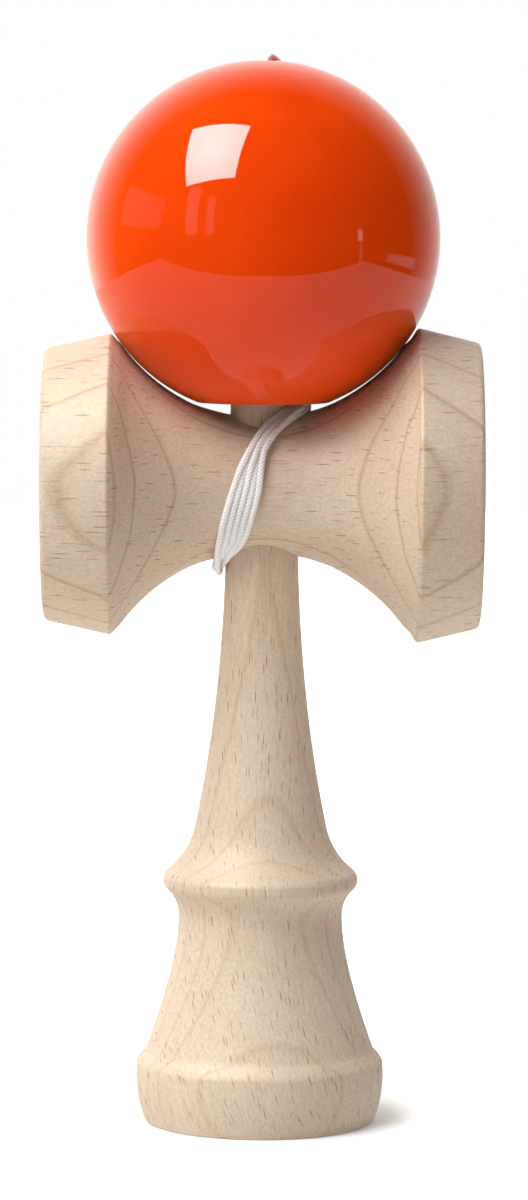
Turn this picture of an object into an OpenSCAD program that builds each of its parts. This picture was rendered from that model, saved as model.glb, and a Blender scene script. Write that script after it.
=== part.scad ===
// Kendama: a wooden handle with a spike, a crosspiece with two cups, and a ball on a string.
// Millimetres, +Z up, standing on the base at the origin. The crosspiece lies along X, the big cup at +X,
// and the front is at -Y. The string is wound round the crosspiece's waist.

/* [Ball] */
// Diameter of the ball
tama_d = 60; // [56:0.5:66]
// Diameter of the ball's mouth at its outer edge
mouth_d = 22.6; // [21:0.2:24]
// Bevel round the mouth's edge
mouth_bevel = 0.5; // [0.3:0.1:1]
// Diameter of the spike's hole at its closed end
hole_end_d = 19.4; // [18:0.2:21]
// Diameter of the flat at the hole's closed end
hole_flat_d = 10; // [8:0.5:14]
// Height of the slope between the hole's wall and that flat
hole_slope_h = 3.5; // [2:0.5:5]
// Wood between the hole's closed end and the top of the ball
top_wall = 10; // [8:0.5:12]
// Diameter of the string's hole through the top of the ball
top_hole_d = 4; // [3:0.2:5]
// Bevel round the top hole's edge
top_bevel = 1; // [0.6:0.1:1.5]

/* [Crosspiece] */
// Height of the crosspiece's axis above the ground
sarado_z = 109.1; // [104:0.1:116]
// Length of the crosspiece over both cups
sarado_l = 74; // [68:0.5:80]
// Diameter of the waist
waist_d = 23; // [21:0.2:26]
// Clearance between the resting ball and the waist's saddle
seat_gap = 0.4; // [0.3:0.05:0.6]
// Diameter of the ridge behind the big cup
big_ridge_d = 53.6; // [51:0.2:56]
// Diameter of the big cup's rim
big_rim_d = 48.4; // [46:0.2:51]
// Diameter of the big cup's mouth
big_cup_d = 42.6; // [40:0.2:44]
// Depth of the big cup
big_cup_depth = 9.5; // [7:0.5:11]
// Diameter of the ridge behind the small cup
small_ridge_d = 51.2; // [49:0.2:53]
// Diameter of the small cup's rim
small_rim_d = 46.2; // [44:0.2:49]
// Diameter of the small cup's mouth
small_cup_d = 40.4; // [38:0.2:42]
// Depth of the small cup
small_cup_depth = 9; // [7:0.5:11]
// Rounding of the cups' rims
rim_round = 1; // [0.5:0.1:1.5]
// Rounding of the ridges
ridge_round = 0.8; // [0.4:0.1:1.2]
// Clearance of the crosspiece's bore on the handle's taper
fit_gap = 0.05; // [0.03:0.01:0.1]

/* [Handle] */
// Height of the handle from its base to the spike's tip
ken_h = 158.5; // [154:0.5:162]
// Largest diameter of the base
base_d = 42.4; // [40:0.2:46]
// Height of the base's widest line
base_mid_z = 8.1; // [7:0.1:9]
// Rounding under the base's edge
foot_round = 0.4; // [0.2:0.1:0.6]
// Diameter of the cup under the base
base_cup_d = 34.4; // [32:0.2:36]
// Depth of the cup under the base
base_cup_depth = 6; // [4.5:0.5:7]
// Height where the base's shoulder starts
base_edge_z = 10; // [9.4:0.1:10.6]
// Height where the bell starts above the shoulder
bell_z = 12.35; // [11.8:0.05:13]
// Diameter of the bell's foot
bell_foot_d = 39; // [37:0.2:40]
// Height of the narrow neck between bell and collar
neck_z = 35.3; // [33:0.1:37]
// Diameter of that neck
neck_d = 28; // [25:0.2:30]
// Diameter of the collar
collar_d = 33.2; // [31:0.2:36]
// Height of the collar's lower edge
collar_z = 40.5; // [39.5:0.1:41.5]
// Height of the collar's upright edge
collar_edge_h = 1.4; // [1:0.1:2]
// Height of the collar's rounded top
collar_top_h = 1.5; // [1:0.1:2]
// Width of the collar's rounded top
collar_top_w = 1; // [0.6:0.1:1.4]
// Height where the collar's flare runs out into the grip
flare_z = 50.7; // [49:0.1:53]
// Diameter of the grip there
flare_d = 22.5; // [20:0.2:25]
// Diameter of the handle where the crosspiece's underside is
seat_d = 12.3; // [11.6:0.1:13]
// Diameter of the spike where it leaves the crosspiece
spike_d = 11; // [10:0.1:11.4]
// Length of the spike's tapered point
point_l = 12; // [10:0.5:15]
// Diameter of the spike where its point starts
point_d = 9.4; // [8:0.2:10]
// Length of the rounded tip
tip_l = 2; // [1:0.1:3]
// Diameter of the spike where its rounded tip starts
tip_d = 4.6; // [3:0.2:6]

/* [String] */
// Diameter of the string
string_d = 1.1; // [1:0.05:1.2]
// Turns of the string round the waist
turns = 5; // [3:1:5]
// Clearance between the string and the wood
wood_gap = 0.3; // [0.2:0.05:0.4]
// Clearance between the string's turns
turn_gap = 0.55; // [0.54:0.01:0.58]
// Diameter of the string's holes in the handle and the crosspiece
string_hole_d = 2.4; // [2:0.1:3]
// Bevel round the string's hole in the crosspiece
string_hole_bevel = 1.4; // [1:0.1:2]
// Diameter of the pocket in the handle for the end knot
pocket_d = 4.6; // [4:0.1:5]
// Distance of the pocket's floor from the handle's axis
pocket_floor = 2.9; // [2.4:0.1:3.2]
// Diameter of the end knots
knot_d = 3.4; // [2.8:0.1:3.6]
// Length of the end knots
knot_l = 2.4; // [2:0.1:2.6]
// Clearance round the knots and the bead
knot_gap = 0.2; // [0.15:0.05:0.3]
// Diameter of the bead
bead_d = 7; // [6:0.2:8]
// Height of the bead
bead_h = 5; // [4:0.2:6]
// Diameter of the bead's hole
bead_hole_d = 1.8; // [1.7:0.1:2.2]

/* [Hidden] */
$fn = 96;
cut = 1;

// Ball and saddle: the waist is an arc round the resting ball's centre
tama_r = tama_d / 2;
seat_r = tama_r + seat_gap;
waist_r = waist_d / 2;
tama_z = sarado_z + waist_r + seat_r;
mouth_r = mouth_d / 2;
mouth_z = tama_z - sqrt(tama_r * tama_r - mouth_r * mouth_r);
hole_top_z = tama_z + tama_r - top_wall;

// Outline helpers, in (radius, height): an angle is measured from straight up, positive outwards
bend_steps = 8;
function bend(p, k, q) =
    [for (i = [0 : bend_steps]) let (t = i / bend_steps) (1-t)*(1-t)*p + 2*t*(1-t)*k + t*t*q];
function meet(p, a, q, b) =
    p + ((q[0] - p[0]) * cos(b) - (q[1] - p[1]) * sin(b)) / sin(a - b) * [sin(a), cos(a)];
function flow(p, a, q, b) = bend(p, meet(p, a, q, b), q);
function unit(v) = v / norm(v);

// Handle outline, from the base up
base_r = base_d / 2;
function base_radius(z) = sqrt(base_r * base_r - (z - base_mid_z) * (z - base_mid_z));
foot_r = base_radius(0);
base_steps = 10;
base_arc = [for (i = [0 : base_steps])
    let (z = foot_round + (base_edge_z - foot_round) * i / base_steps) [base_radius(z), z]];
base_edge_slope = -5;
shoulder_slope = -45;
bell_slope = -20;
collar_under_slope = 54;
flare_slope = -50;
grip_slope = -12;
tip_slope = -15;
taper_start = 2;
taper_z0 = sarado_z - waist_r;
taper_z1 = sarado_z + waist_r;
taper = (spike_d - seat_d) / 2 / (taper_z1 - taper_z0);
function taper_r(z) = seat_d / 2 + taper * (z - taper_z0);
edge_point = base_arc[base_steps];
bell_foot = [bell_foot_d / 2, bell_z];
neck = [neck_d / 2, neck_z];
collar_low = [collar_d / 2, collar_z];
collar_high = [collar_d / 2, collar_z + collar_edge_h];
collar_crown = collar_high + [-collar_top_w, collar_top_h];
flare_end = [flare_d / 2, flare_z];
grip_end = [taper_r(taper_z0 - taper_start), taper_z0 - taper_start];
spike_foot = [spike_d / 2, taper_z1];
point_start = [point_d / 2, ken_h - point_l];
tip_start = [tip_d / 2, ken_h - tip_l];
ken_outline = concat(
    [[0, 0]],
    bend([foot_r - foot_round, 0], [foot_r, 0], base_arc[0]),
    base_arc,
    flow(edge_point, base_edge_slope, bell_foot, shoulder_slope),
    flow(bell_foot, bell_slope, neck, 0),
    flow(neck, 0, collar_low, collar_under_slope),
    flow(collar_high, 0, collar_crown, flare_slope),
    flow(collar_crown, flare_slope, flare_end, grip_slope),
    flow(flare_end, grip_slope, grip_end, atan(taper)),
    [spike_foot, point_start],
    flow(tip_start, tip_slope, [0, ken_h], -90));
base_cup_r = (base_cup_d * base_cup_d / 4 + base_cup_depth * base_cup_depth) / (2 * base_cup_depth);

// Crosspiece outline, in (radius, place along X): each end has a rim, a band and a ridge
saddle_centre_r = waist_r + seat_r;
function ridge_x(r) = sqrt(seat_r * seat_r - (saddle_centre_r - r) * (saddle_centre_r - r));
function end_outline(rim_r, ridge_r) = let (
    rim = [rim_r, sarado_l / 2],
    ridge = [ridge_r, ridge_x(ridge_r)],
    band = unit(ridge - rim),
    saddle = unit([-ridge[1], ridge_r - saddle_centre_r]))
    concat(
        [[0, rim[1]]],
        bend(rim - [rim_round, 0], rim, rim + rim_round * band),
        bend(ridge - ridge_round * band, ridge, ridge + ridge_round * saddle));
function flipped(outline) = [for (i = [len(outline) - 1 : -1 : 0]) [outline[i][0], -outline[i][1]]];
big_end = end_outline(big_rim_d / 2, big_ridge_d / 2);
small_end = end_outline(small_rim_d / 2, small_ridge_d / 2);
sarado_outline = concat(big_end, flipped(small_end));
function cup_radius(d, depth) = (d * d / 4 + depth * depth) / (2 * depth);

// String winding. Angle f runs round the crosspiece: 0 on top, 90 at the front, 180 below, 270 at the back.
// The strand passes right of the spike on top and left of the handle below. Its place across the waist is
// measured along an arc parallel to the waist, to the right of the middle.
string_r = string_d / 2;
pitch = string_d + turn_gap;
wind_r = waist_r + wood_gap + string_r;
arc_r = seat_r - wood_gap - string_r;
middle_turn = (turns - 1) / 2;
// Narrowest spacing of the turns, beside the spike and the handle, as a share of the pitch
tuck = 0.51;
// How far leaning turns are spread, so that they keep the pitch where they bend
spread = 2;
spread_reach = 12;
layer_rise = 1.12;
spike_clear = 0.3;
handle_clear = 0.95;
top_x = spike_d / 2 + wood_gap + string_r + middle_turn * tuck * pitch + spike_clear;
low_x = -(seat_d / 2 + wood_gap + string_r + middle_turn * tuck * pitch + handle_clear);
front_x = -2.7;
back_x = (middle_turn + 1) * pitch;
wave = 0.1;
shift_start = 225;
shift_span = 90;
ring_angle = 15;
wind_start = -75;
lift_off_start = (turns - 1) * 360 + 215;
lift_off_span = 22;
lift_off_h = 2.1;
wind_end = lift_off_start + lift_off_span;
function ease(t) = let (c = max(0, min(1, t))) c * c * (3 - 2 * c);
function shift(f) = ease((f - shift_start) / shift_span);
function bundle_x(f) = let (
    mid = (top_x + low_x) / 2,
    swing = cos(f) + wave * (cos(3 * f) - cos(f)),
    side = (sin(f) > 0 ? front_x : back_x) - mid)
    mid + (top_x - low_x) / 2 * swing + side * pow(sin(f), 4);
function drift_x(f) = bundle_x(f) + pitch * shift(f);
function lean(f) = (drift_x(f + 1) - drift_x(f - 1)) / (wind_r * 2 * PI / 180);
function lean_near(f) = let (l = [for (d = [-spread_reach, 0, spread_reach]) lean(f + d)]) l * l / len(l);
function spacing(f) = pitch * (1 - (1 - tuck) * pow(cos(f), 6));
function layer_h(f) = layer_rise * sqrt(pitch * pitch - spacing(f) * spacing(f));
function strand(a) = let (
    n = floor(a / 360),
    f = a - 360 * n,
    turn = n + shift(f),
    across = bundle_x(f) + (turn - middle_turn) * spacing(f) * sqrt(1 + spread * lean_near(f)),
    lift = pow(sin(90 * turn), 2) * layer_h(f),
    off = ease((a - lift_off_start) / lift_off_span) * lift_off_h,
    bearing = across / arc_r * 180 / PI,
    r = (saddle_centre_r - (arc_r - lift) * cos(bearing) + off) / cos(ring_angle / 2))
    [(arc_r - lift) * sin(bearing), -r * sin(f), sarado_z + r * cos(f)];

// The string's end in the wood: straight out of the knot, then bent round onto the waist
exit_bend = 2 * string_d;
exit_y = wind_r - exit_bend;
exit_turn = 16;
knot_face_y = -pocket_floor - knot_gap;
string_end_in_wood = concat(
    [for (y = [knot_face_y, 0, 3, 6, exit_y]) [0, y, sarado_z]],
    [for (b = [22.5, 45, 67.5]) [0, exit_y, sarado_z] + exit_bend *
        [(1 - cos(b)) * sin(exit_turn), sin(b), (1 - cos(b)) * cos(exit_turn)]]);

// The lead: straight from the winding's last touch to the ball's back, in one plane with the ball's axis
over_r = tama_r + wood_gap + string_r;
leave = strand(wind_end);
leave_q = norm([leave[0], leave[1]]);
lead_bearing = atan2(leave[0], leave[1]);
rise = tama_z - leave[2];
reach = norm([leave_q, rise]);
lead_lean = asin(over_r / reach) - atan(leave_q / rise);
lead_dir = [sin(lead_bearing) * sin(lead_lean), cos(lead_bearing) * sin(lead_lean), cos(lead_lean)];
touch = leave + sqrt(reach * reach - over_r * over_r) * lead_dir;
end_run = 1.5 * string_d;
lead_low = leave + end_run * lead_dir;
lead_high = touch - end_run * lead_dir;

// Over the ball: points as angle from the ball's top and bearing from the lead
over_route = [[105, 0], [97, 0], [89, -0.1], [81, -0.4], [73, -0.8], [65, -1.3], [57, -1.7], [49, -2],
    [41, -2.3], [33, -2.5], [26, -2.5], [19, -2.5], [13, -1], [8, 3]];
// Down the top hole: points as distance from the axis, bearing from the lead and height over the ball's top
hole_route = [[2.3, 6], [1.2, 8], [0.3, 8], [0, 8], [0, 8], [0, 8]];
hole_heights = [0.8, 0.4, -0.5, -2.5, -6, -10];
function on_ball(p) = let (b = lead_bearing + p[1])
    [over_r * sin(p[0]) * sin(b), over_r * sin(p[0]) * cos(b), tama_z + over_r * cos(p[0])];
function in_hole(i) = let (b = lead_bearing + hole_route[i][1], q = hole_route[i][0])
    [q * sin(b), q * cos(b), tama_z + tama_r + hole_heights[i]];
bead_z = hole_top_z - knot_gap - bead_h;
bead_knot_z = bead_z - knot_gap - knot_l;

winding_route = concat(
    string_end_in_wood,
    [for (a = [wind_start : ring_angle : wind_end - ring_angle / 2]) strand(a)],
    [leave, lead_low]);
lead_route = [for (i = [0 : 12]) lead_low + (lead_high - lead_low) * i / 12];
over_ball_route = concat(
    [lead_high, touch],
    [for (p = over_route) on_ball(p)],
    [for (i = [0 : len(hole_route) - 1]) in_hole(i)],
    [for (z = [bead_z + bead_h / 2, bead_knot_z + knot_l]) [0, 0, z]]);

// Tube swept along a route, square to it at both ends, in triangles
module tube(route, d, sides) {
    last = len(route) - 1;
    points = [for (i = [0 : last])
        let (
            along = unit(route[min(i + 1, last)] - route[max(i - 1, 0)]),
            out = unit(cross(along, [1, 0, 0])),
            across = cross(along, out))
        for (s = [0 : sides - 1]) let (b = 360 * s / sides) route[i] + d / 2 * (cos(b) * out + sin(b) * across)];
    walls = [for (i = [0 : last - 1], s = [0 : sides - 1])
        let (a = i * sides + s, b = i * sides + (s + 1) % sides)
        each [[a, b, b + sides], [a, b + sides, a + sides]]];
    caps = [for (s = [1 : sides - 2])
        each [[0, s + 1, s], [last * sides, last * sides + s, last * sides + s + 1]]];
    polyhedron(points, concat(walls, caps));
}

// Least gap of the winding to itself, from its points to its stretches, half a turn or more away
function stretch_distance(p, a, b) =
    let (t = max(0, min(1, (p - a) * (b - a) / ((b - a) * (b - a))))) norm(p - a - t * (b - a));
turn_rings = 360 / ring_angle;
function self_gap(route) = min([for (i = [0 : len(route) - 2], j = [i + turn_rings / 2 : len(route) - 2])
    stretch_distance(route[i], route[j], route[j + 1])]) - string_d;
function route_length(route) = [for (i = [0 : len(route) - 2]) norm(route[i + 1] - route[i])]
    * [for (i = [0 : len(route) - 2]) 1];
echo(winding_gap = self_gap(winding_route), winding_length = route_length(winding_route),  // string_winding
        lead_length = route_length(lead_route), over_ball_length = route_length(over_ball_route));

// Rounded barrel on the Z axis, with or without a hole
module barrel(d, h, hole_d) {
    corner = h / 4;
    rotate_extrude() polygon(concat(
        [[hole_d / 2, 0]],
        bend([d / 2 - corner, 0], [d / 2, 0], [d / 2, corner]),
        bend([d / 2, h - corner], [d / 2, h], [d / 2 - corner, h]),
        [[hole_d / 2, h]]));
}

module ken() {
    color("burlywood") difference() {
        rotate_extrude() polygon(ken_outline);
        translate([0, 0, base_cup_depth - base_cup_r]) sphere(base_cup_r);
        translate([0, 0, sarado_z]) rotate([90, 0, 0]) cylinder(d = string_hole_d, h = seat_d + cut, center = true);
        translate([0, -pocket_floor, sarado_z]) rotate([90, 0, 0]) cylinder(d = pocket_d, h = seat_d / 2);
    }
}

module cup(d, depth, side) {
    r = cup_radius(d, depth);
    translate([side * (sarado_l / 2 - depth + r), 0, sarado_z]) sphere(r);
}

module sarado() {
    bore_low = taper_z0 - cut;
    bore_high = taper_z1 + cut;
    bevel_y = waist_r - string_hole_bevel;
    color("tan") difference() {
        translate([0, 0, sarado_z]) rotate([0, 90, 0]) rotate_extrude() difference() {
            polygon(sarado_outline);
            translate([saddle_centre_r, 0]) circle(seat_r);
        }
        cup(big_cup_d, big_cup_depth, 1);
        cup(small_cup_d, small_cup_depth, -1);
        translate([0, 0, bore_low])
            cylinder(r1 = taper_r(bore_low) + fit_gap, r2 = taper_r(bore_high) + fit_gap, h = bore_high - bore_low);
        translate([0, 0, sarado_z]) rotate([-90, 0, 0]) cylinder(d = string_hole_d, h = waist_d);
        translate([0, bevel_y, sarado_z]) rotate([-90, 0, 0])
            cylinder(d1 = string_hole_d, d2 = string_hole_d + 4 * string_hole_bevel, h = 2 * string_hole_bevel);
    }
}

module tama() {
    hole_r = mouth_r - mouth_bevel;
    below = tama_z - tama_r - mouth_z - cut;
    color("orangered") difference() {
        translate([0, 0, tama_z]) sphere(tama_r);
        rotate_extrude() polygon([
            [0, mouth_z + below],
            [mouth_r - below, mouth_z + below],
            [hole_r, mouth_z + mouth_bevel],
            [hole_end_d / 2, hole_top_z - hole_slope_h],
            [hole_flat_d / 2, hole_top_z],
            [0, hole_top_z]]);
        cylinder(d = top_hole_d, h = tama_z + tama_d);
        translate([0, 0, tama_z + tama_r - top_bevel])
            cylinder(d1 = top_hole_d, d2 = top_hole_d + 4 * top_bevel, h = 2 * top_bevel);
    }
}

module string_winding() {
    color("white") tube(winding_route, string_d, 6);
}

module string_lead() {
    color("white") tube(lead_route, string_d, 8);
}

module string_over_ball() {
    color("white") tube(over_ball_route, string_d, 8);
}

module string_ken_knot() {
    color("white") translate([0, knot_face_y, sarado_z]) rotate([90, 0, 0]) barrel(knot_d, knot_l, 0);
}

module string_bead_knot() {
    color("white") translate([0, 0, bead_knot_z]) barrel(knot_d, knot_l, 0);
}

module string_bead() {
    color("wheat") translate([0, 0, bead_z]) barrel(bead_d, bead_h, bead_hole_d);
}

ken();
sarado();
tama();
string_winding();
string_ken_knot();
string_lead();
string_over_ball();
string_bead();
string_bead_knot();
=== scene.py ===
import math

import bmesh
import bpy
import numpy as np
from mathutils import Matrix, Vector


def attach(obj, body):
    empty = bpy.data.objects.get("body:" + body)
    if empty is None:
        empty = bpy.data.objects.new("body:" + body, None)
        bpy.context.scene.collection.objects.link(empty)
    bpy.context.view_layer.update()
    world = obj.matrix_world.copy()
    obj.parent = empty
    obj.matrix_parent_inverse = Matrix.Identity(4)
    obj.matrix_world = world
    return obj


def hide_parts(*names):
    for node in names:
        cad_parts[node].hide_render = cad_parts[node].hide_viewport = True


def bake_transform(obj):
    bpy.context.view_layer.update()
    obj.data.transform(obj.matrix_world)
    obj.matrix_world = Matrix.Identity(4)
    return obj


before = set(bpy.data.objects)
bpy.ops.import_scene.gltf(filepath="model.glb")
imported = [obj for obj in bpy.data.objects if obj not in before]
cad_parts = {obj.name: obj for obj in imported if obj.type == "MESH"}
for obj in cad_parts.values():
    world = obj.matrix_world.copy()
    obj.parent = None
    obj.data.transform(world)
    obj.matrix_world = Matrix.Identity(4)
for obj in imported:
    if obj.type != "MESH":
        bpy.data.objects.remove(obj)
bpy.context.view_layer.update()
scene = bpy.context.scene
scene.view_settings.view_transform = "Standard"
mm = 0.001


def linear(hexColour):
    shares = [int(hexColour[i:i + 2], 16) / 255 for i in (1, 3, 5)]
    return [c / 12.92 if c <= 0.04045 else ((c + 0.055) / 1.055) ** 2.4 for c in shares] + [1]


# adds a node, sets its inputs or properties, and links its inputs; an input is named, or numbered from 0
def addNode(tree, kind, place, settings=None, links=None):
    node = tree.nodes.new(kind)
    node.location = place
    for key, value in (settings or {}).items():
        if isinstance(key, str) and hasattr(node, key):
            setattr(node, key, value)
        else:
            node.inputs[key].default_value = value
    for key, source in (links or {}).items():
        tree.links.new(source, node.inputs[key])
    return node


def emptyMaterial(name):
    material = bpy.data.materials.new(name)
    material.use_nodes = True
    material.node_tree.nodes.clear()
    return material, material.node_tree


# camera
cameraLook = {
    "place": (0.0004, -0.850, 0.1613),
    "downDegrees": 4.83,
    "rollDegrees": 0.27,
    "lensMm": 150.2,
    "frameMm": 36,  # height of the frame that the lens is for
    "nearest": 0.01,
}


def makeCamera(look):
    data = bpy.data.cameras.new("camera")
    data.sensor_fit = "VERTICAL"
    data.sensor_height = look["frameMm"]
    data.lens = look["lensMm"]
    data.clip_start = look["nearest"]
    camera = bpy.data.objects.new("camera", data)
    tilt = Matrix.Rotation(math.radians(90 - look["downDegrees"]), 4, "X")
    roll = Matrix.Rotation(math.radians(look["rollDegrees"]), 4, "Z")
    camera.matrix_world = Matrix.Translation(look["place"]) @ tilt @ roll
    scene.collection.objects.link(camera)
    scene.camera = camera


makeCamera(cameraLook)
print("camera set")

# sizes shared by the wooden pieces and the string, in millimetres
ballRadius = 30
ballZ = 151
seatRadius = 30.4  # the waist is an arc round the resting ball's centre
waistRadius = 11.5
crossZ = 109.1
saddleCentre = waistRadius + seatRadius
holeTopZ = 171


def waistAt(x):
    return saddleCentre - math.sqrt(seatRadius ** 2 - x * x)


def ease(t):
    t = min(1, max(0, t))
    return t * t * (3 - 2 * t)


# a smooth line through points, at even steps
def smoothPath(points, step):
    points = np.array(points, float)
    ends = np.vstack([2 * points[0] - points[1], points, 2 * points[-1] - points[-2]])
    fine = []
    for i in range(len(points) - 1):
        a, b, c, d = ends[i:i + 4]
        for t in np.linspace(0, 1, 24, endpoint=False):
            fine.append(0.5 * (2 * b + (c - a) * t + (2 * a - 5 * b + 4 * c - d) * t ** 2
                               + (3 * b - a - 3 * c + d) * t ** 3))
    fine = np.vstack([fine, points[-1:]])
    lengths = np.concatenate([[0], np.cumsum(np.linalg.norm(np.diff(fine, axis=0), axis=1))])
    places = np.linspace(0, lengths[-1], max(2, int(lengths[-1] / step) + 1))
    return np.stack([np.interp(places, lengths, fine[:, k]) for k in range(3)], axis=1)


def pathLength(points):
    return float(np.linalg.norm(np.diff(points, axis=0), axis=1).sum())


# braided string
stringLook = {
    "diameter": 1.1,
    "woodGap": 0.03,
    "carriers": 4,  # yarns each way round the braid
    "layLength": 2.6,  # one yarn's full turn
    "braidDepth": 0.1,  # share of the radius
    "braidMean": 0.65,  # height of the braid that lies at the radius
    "crossing": 0.45,  # share of its height that a yarn loses between crossings
    "sides": 18,
    "ringStep": 0.09,
    "lineStep": 0.6,  # between the points of the string's line, whose length is printed
}


# a tube of crossing yarns along a path; the braid's height is kept for the string's material, which paints
# shade in the gaps
def braidedTube(name, path, look):
    radius = look["diameter"] / 2
    points = smoothPath(path, look["ringStep"])
    along = np.gradient(points, axis=0)
    along /= np.linalg.norm(along, axis=1)[:, None]
    side = np.cross(along[0], (1, 0.2, 0.1))  # any direction that the path doesn't start in
    side /= np.linalg.norm(side)
    sides = [side]
    for t in along[1:]:
        side = side - t * side.dot(t)
        side = side / np.linalg.norm(side)
        sides.append(side)
    sides = np.array(sides)
    ups = np.cross(along, sides)
    run = np.concatenate([[0], np.cumsum(np.linalg.norm(np.diff(points, axis=0), axis=1))])
    turn = np.arange(look["sides"]) / look["sides"]
    lay = run[:, None] / look["layLength"]
    u = look["carriers"] * (turn[None] + lay)
    v = look["carriers"] * (turn[None] - lay)
    over = (np.floor(u) + np.floor(v)) % 2 == 0
    bumpU = np.sin(np.pi * (u % 1))
    bumpV = np.sin(np.pi * (v % 1))
    dip = look["crossing"]
    lift = np.where(over, bumpU * (1 - dip + dip * bumpV), bumpV * (1 - dip + dip * bumpU))
    r = radius * (1 + look["braidDepth"] * (lift - look["braidMean"]))
    angle = 2 * np.pi * turn
    ring = (np.cos(angle)[None, :, None] * sides[:, None] + np.sin(angle)[None, :, None] * ups[:, None])
    verts = (points[:, None] + r[..., None] * ring).reshape(-1, 3) * mm
    n = look["sides"]
    rows = len(points)
    i, k = np.meshgrid(np.arange(rows - 1), np.arange(n), indexing="ij")
    a, b = i * n + k, i * n + (k + 1) % n
    faces = np.stack([a, b, b + n, a + n], axis=-1).reshape(-1, 4).tolist()
    faces.append(list(range(n))[::-1])
    faces.append([(rows - 1) * n + j for j in range(n)])
    mesh = bpy.data.meshes.new(name)
    mesh.from_pydata(verts.tolist(), [], faces)
    mesh.polygons.foreach_set("use_smooth", [True] * len(mesh.polygons))
    height = mesh.attributes.new("braidHeight", "FLOAT", "POINT")
    height.data.foreach_set("value", lift.reshape(-1).astype(np.float32))
    piece = bpy.data.objects.new(name, mesh)
    scene.collection.objects.link(piece)
    return piece


# The winding's five turns: for each angle round the waist (0 on top, 90 at the front, 180 below, 270 at the
# back) the place across the waist of each turn, left to right, and its height above the first layer.
windingRows = [
    (0, [6.1, 6.6, 7.15, 7.7, 8.2], [0.9, 0, 0.9, 0, 0.9]),
    (12.5, [5.4, 5.85, 6.4, 6.95, 7.5], [1, 0, 0.95, 0, 0.95]),
    (22, [3.4, 3.95, 4.6, 5.15, 5.7], [1.2, 0.05, 0.95, 0, 0.95]),
    (32, [1.35, 2, 2.65, 3.3, 3.95], [0.95, 0, 0.95, 0, 0.95]),
    (45, [-0.43, 0.2, 0.85, 1.5, 2.1], [0.9, 0, 0.9, 0, 0.9]),
    (58, [-1.95, -1.35, -0.75, -0.15, 0.45], [0.9, 0, 0.9, 0, 0.9]),
    (67, [-3, -2.25, -1.5, -0.75, 0], [0.7, 0, 0.75, 0, 0.75]),
    (75, [-3.8, -2.9, -2, -1.1, -0.2], [0.45, 0, 0.5, 0, 0.5]),
    (90, [-4.86, -3.78, -2.7, -1.62, -0.54], [0.05, 0, 0.1, 0, 0.1]),
    (102, [-5.68, -4.54, -3.4, -2.26, -1.12], [0, 0, 0, 0, 0]),
    (119, [-6.7, -5.55, -4.4, -3.25, -2.1], [0, 0, 0, 0, 0]),
    (132.5, [-7.16, -6.08, -5, -3.92, -2.84], [0, 0, 0, 0, 0]),
    (140.5, [-7.5, -6.5, -5.5, -4.5, -3.5], [0.2, 0.12, 0, 0.08, 0]),
    (150, [-7.75, -7.0, -6.1, -5.3, -4.5], [0.7, 0.4, 0, 0.35, 0]),
    (164, [-7.95, -8.15, -7.4, -6.85, -6.2], [1.45, 0.72, 0, 0.75, 0]),
    (180, [-7.85, -8.4, -7.9, -7.3, -6.75], [1.87, 0.93, 0, 0.93, 0]),
    (196, [-7.5, -8.2, -7.6, -6.95, -6.4], [1.5, 0.8, 0, 0.8, 0]),
    (212, [-7.4, -6.9, -6.2, -5.2, -4.2], [0.7, 0.35, 0, 0.3, 0]),
    (228, [-5.9, -4.7, -3.4, -2, -0.7], [0, 0, 0, 0, 0]),
    (248, [-2.4, -1.1, 0.3, 1.7, 3], [0, 0, 0, 0, 0]),
    (270, [0.9, 2.2, 3.5, 4.8, 6.1], [0, 0, 0, 0, 0]),
    (292, [2.9, 4.05, 5.2, 6.35, 7.5], [0.1, 0, 0.1, 0, 0.1]),
    (315, [4.4, 5.3, 6.2, 7.1, 8], [0.6, 0, 0.6, 0, 0.6]),
    (338, [5.5, 6.15, 6.8, 7.45, 8.1], [0.9, 0, 0.9, 0, 0.9]),
    (360, [6.1, 6.6, 7.15, 7.7, 8.2], [0.9, 0, 0.9, 0, 0.9]),
]
rowAngles = [row[0] for row in windingRows]
lastTurn = 4
turnStep = 5  # degrees between the winding's points
shiftStart = 225  # behind the waist each turn moves over to the next one's place
shiftSpan = 90
windStart = -65
throughWood = (-3.1, 0, 3, 6, 8)  # out of the knot and along the hole
exitFrom = 8.95  # the bend out of the hole, towards the first turn
exitBend = 3
exitWay = (0.52, 0.854)
exitEnd = (2.34, 11.52, 112.95)
leaveTurn = 192  # the last turn starts across the back
liftTurn = 200  # it starts to lift off the wood
acrossEnd = 232  # it is across, and off the wood
leaveEnd = 237  # its points stop before this angle
leave = np.array([4.94, 12.58, 100.93])  # the winding's last point
touch = np.array([10.50, 26.73, 139.74])  # where the lead meets the ball
leadTrim = 1.5 * stringLook["diameter"]  # from those two points to the straight part of the lead
leadWay = (touch - leave) / np.linalg.norm(touch - leave)
leadLow = leave + leadTrim * leadWay
leadHigh = touch - leadTrim * leadWay


# across and layer of a turn, which may lie between two turns' places
def placeAt(f, turn):
    whole = min(lastTurn, max(0, int(math.floor(turn))))
    following = min(lastTurn, whole + 1)
    share = min(1, max(0, turn - whole))
    values = []
    for column in (1, 2):
        first = np.interp(f, rowAngles, [row[column][whole] for row in windingRows])
        second = np.interp(f, rowAngles, [row[column][following] for row in windingRows])
        values.append(first + (second - first) * share)
    return values


def onWaist(f, across, layer, gap):
    arc = seatRadius - gap - layer
    bearing = across / (seatRadius - gap)
    r = saddleCentre - arc * math.cos(bearing)
    angle = math.radians(f)
    return [arc * math.sin(bearing), -r * math.sin(angle), crossZ + r * math.cos(angle)]


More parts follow.
